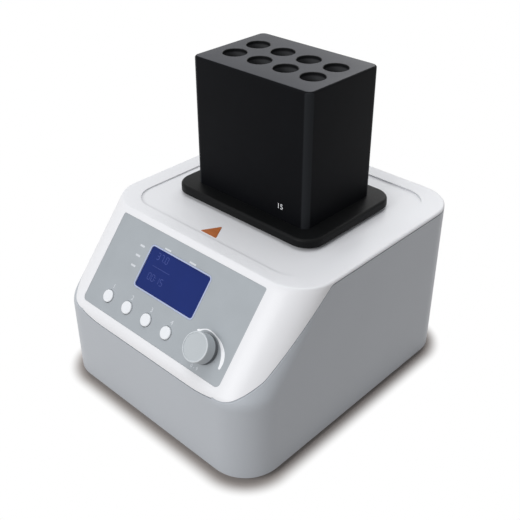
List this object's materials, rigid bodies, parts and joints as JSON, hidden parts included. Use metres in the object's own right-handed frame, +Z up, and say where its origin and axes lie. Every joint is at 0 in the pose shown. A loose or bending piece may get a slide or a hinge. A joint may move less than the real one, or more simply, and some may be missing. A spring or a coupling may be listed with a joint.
{
  "type": "thermal mixer",
  "caption": "Bench heated orbital shaker: two-tone moulded case with a sloping control panel and a black anodised tube block that orbits on the deck.",
  "frame": {"origin": "centre of the footprint on the table, under the feet", "axes": "+Z up, -Y towards the user and the control panel, +X to the user's right"},
  "size_m": [0.192, 0.222, 0.2292],
  "materials": {
    "housing_gray": "moulded ABS, fine satin texture",
    "housing_white": "moulded ABS, smooth semi-gloss",
    "panel_film": "printed polyester film, silver gray",
    "display_blue": "clear window over a deep blue display",
    "bezel_pale": "pale moulded frame",
    "key_white": "white moulded caps",
    "knob_gray": "satin light gray",
    "black_anodised": "black anodised, bead blasted",
    "aluminium_plain": "milled aluminium",
    "sheet_steel": "dark gray powder coat",
    "screw_steel": "zinc plated steel",
    "rotor_steel": "turned steel",
    "contact_brass": "plain brass",
    "coil_copper": "enamelled copper wire",
    "foot_rubber": "black rubber",
    "board_green": "glass-fibre circuit board",
    "black_plastic": "black moulded plastic",
    "heater_silicone": "red silicone rubber film",
    "pad_fibre": "glass-fibre insulating board",
    "magnet": "nickel plated magnets",
    "marker_amber": "plain amber label"
  },
  "bodies": {
    "root": {"lower_housing": "housing_gray", "upper_housing": "housing_white", "base_plate": "sheet_steel", "rubber_feet": "foot_rubber", "case_screws": "screw_steel", "rear_panel": "sheet_steel", "rear_screws": "screw_steel", "fan_frame": "black_plastic", "power_inlet": "black_plastic", "inlet_pins": "contact_brass", "switch_frame": "black_plastic", "panel_overlay": "panel_film", "display_bezel": "bezel_pale", "display_window": "display_blue", "lcd_module": "black_plastic", "control_board": "board_green", "control_board_screws": "screw_steel", "key_switches": "black_plastic", "encoder_body": "black_plastic", "deck_marker": "marker_amber", "chassis_plate": "aluminium_plain", "chassis_posts": "aluminium_plain", "chassis_screws": "screw_steel", "motor_tube": "aluminium_plain", "chassis_bearings": "rotor_steel", "motor_stator": "rotor_steel", "stator_coils": "coil_copper", "circuit_boards": "board_green"},
    "crank": {"motor_rotor": "rotor_steel", "rotor_magnets": "magnet", "eccentric_hub": "rotor_steel", "counterweight": "rotor_steel"},
    "platform": {"platform_plate": "aluminium_plain", "platform_bearing": "rotor_steel", "platform_bushes": "contact_brass", "platform_screws": "screw_steel", "platform_standoffs": "aluminium_plain", "heater_plate": "aluminium_plain", "heater_film": "heater_silicone", "insulation_pad": "pad_fibre", "temperature_sensor": "screw_steel", "retaining_magnets": "magnet", "locating_pins": "screw_steel"},
    "block": {"heating_block": "black_anodised", "block_flange": "black_anodised", "flange_fixings": "screw_steel"},
    "knob_plunger": {"encoder_plunger": "black_plastic"},
    "knob": {"encoder_shaft": "screw_steel", "control_knob": "knob_gray"},
    "rocker": {"power_rocker": "black_plastic"},
    "fan": {"fan_rotor": "black_plastic"},
    "drawer": {"fuse_drawer": "black_plastic"},
    "idler_1": {"idler_crank_1": "rotor_steel"},
    "key_1": {"key_cap_1": "key_white"},
    "idler_2": {"idler_crank_2": "rotor_steel"},
    "key_2": {"key_cap_2": "key_white"},
    "idler_3": {"idler_crank_3": "rotor_steel"},
    "key_3": {"key_cap_3": "key_white"},
    "idler_4": {"idler_crank_4": "rotor_steel"},
    "key_4": {"key_cap_4": "key_white"}
  },
  "joints": [
    {"name": "crank_spin", "type": "hinge", "parent": "root", "child": "crank", "pos_m": [0, 0.028, 0.061], "axis": [0, 0, 1], "continuous": true},
    {"name": "platform_orbit", "type": "hinge", "parent": "crank", "child": "platform", "pos_m": [0, 0.0265, 0.074], "axis": [0, 0, 1], "continuous": true},
    {"name": "block_lift", "type": "slide", "parent": "platform", "child": "block", "axis": [0, 0, 1], "range_m": [0, 0.04]},
    {"name": "knob_press", "type": "slide", "parent": "root", "child": "knob_plunger", "axis": [0, 0.766, -0.6428], "range_m": [0, 0.0005], "stiffness_N_per_m": 6000},
    {"name": "knob_turn", "type": "hinge", "parent": "knob_plunger", "child": "knob", "pos_m": [0.0459, -0.09577, 0.08335], "axis": [0, -0.766, 0.6428], "continuous": true},
    {"name": "rocker_tilt", "type": "hinge", "parent": "root", "child": "rocker", "pos_m": [0.012, 0.104, 0.056], "axis": [1, 0, 0], "range_deg": [0, 16]},
    {"name": "fan_spin", "type": "hinge", "parent": "root", "child": "fan", "pos_m": [-0.031, 0.1065, 0.056], "axis": [0, 1, 0], "continuous": true},
    {"name": "drawer_slide", "type": "slide", "parent": "root", "child": "drawer", "axis": [0, 1, 0], "range_m": [0, 0.024]},
    {"name": "idler_1_spin", "type": "hinge", "parent": "root", "child": "idler_1", "pos_m": [-0.058, -0.008, 0.061], "axis": [0, 0, 1], "continuous": true},
    {"name": "idler_2_spin", "type": "hinge", "parent": "root", "child": "idler_2", "pos_m": [-0.058, 0.064, 0.061], "axis": [0, 0, 1], "continuous": true},
    {"name": "idler_3_spin", "type": "hinge", "parent": "root", "child": "idler_3", "pos_m": [0.058, -0.008, 0.061], "axis": [0, 0, 1], "continuous": true},
    {"name": "idler_4_spin", "type": "hinge", "parent": "root", "child": "idler_4", "pos_m": [0.058, 0.064, 0.061], "axis": [0, 0, 1], "continuous": true},
    {"name": "key_1_press", "type": "slide", "parent": "root", "child": "key_1", "axis": [0, 0.766, -0.6428], "range_m": [0, 0.0006], "stiffness_N_per_m": 2500},
    {"name": "key_2_press", "type": "slide", "parent": "root", "child": "key_2", "axis": [0, 0.766, -0.6428], "range_m": [0, 0.0006], "stiffness_N_per_m": 2500},
    {"name": "key_3_press", "type": "slide", "parent": "root", "child": "key_3", "axis": [0, 0.766, -0.6428], "range_m": [0, 0.0006], "stiffness_N_per_m": 2500},
    {"name": "key_4_press", "type": "slide", "parent": "root", "child": "key_4", "axis": [0, 0.766, -0.6428], "range_m": [0, 0.0006], "stiffness_N_per_m": 2500}
  ],
  "couplings": [
    {"joint": "platform_orbit", "follows": "crank_spin", "ratio": -1},
    {"joint": "idler_1_spin", "follows": "crank_spin", "ratio": 1},
    {"joint": "idler_2_spin", "follows": "crank_spin", "ratio": 1},
    {"joint": "idler_3_spin", "follows": "crank_spin", "ratio": 1},
    {"joint": "idler_4_spin", "follows": "crank_spin", "ratio": 1}
  ]
}
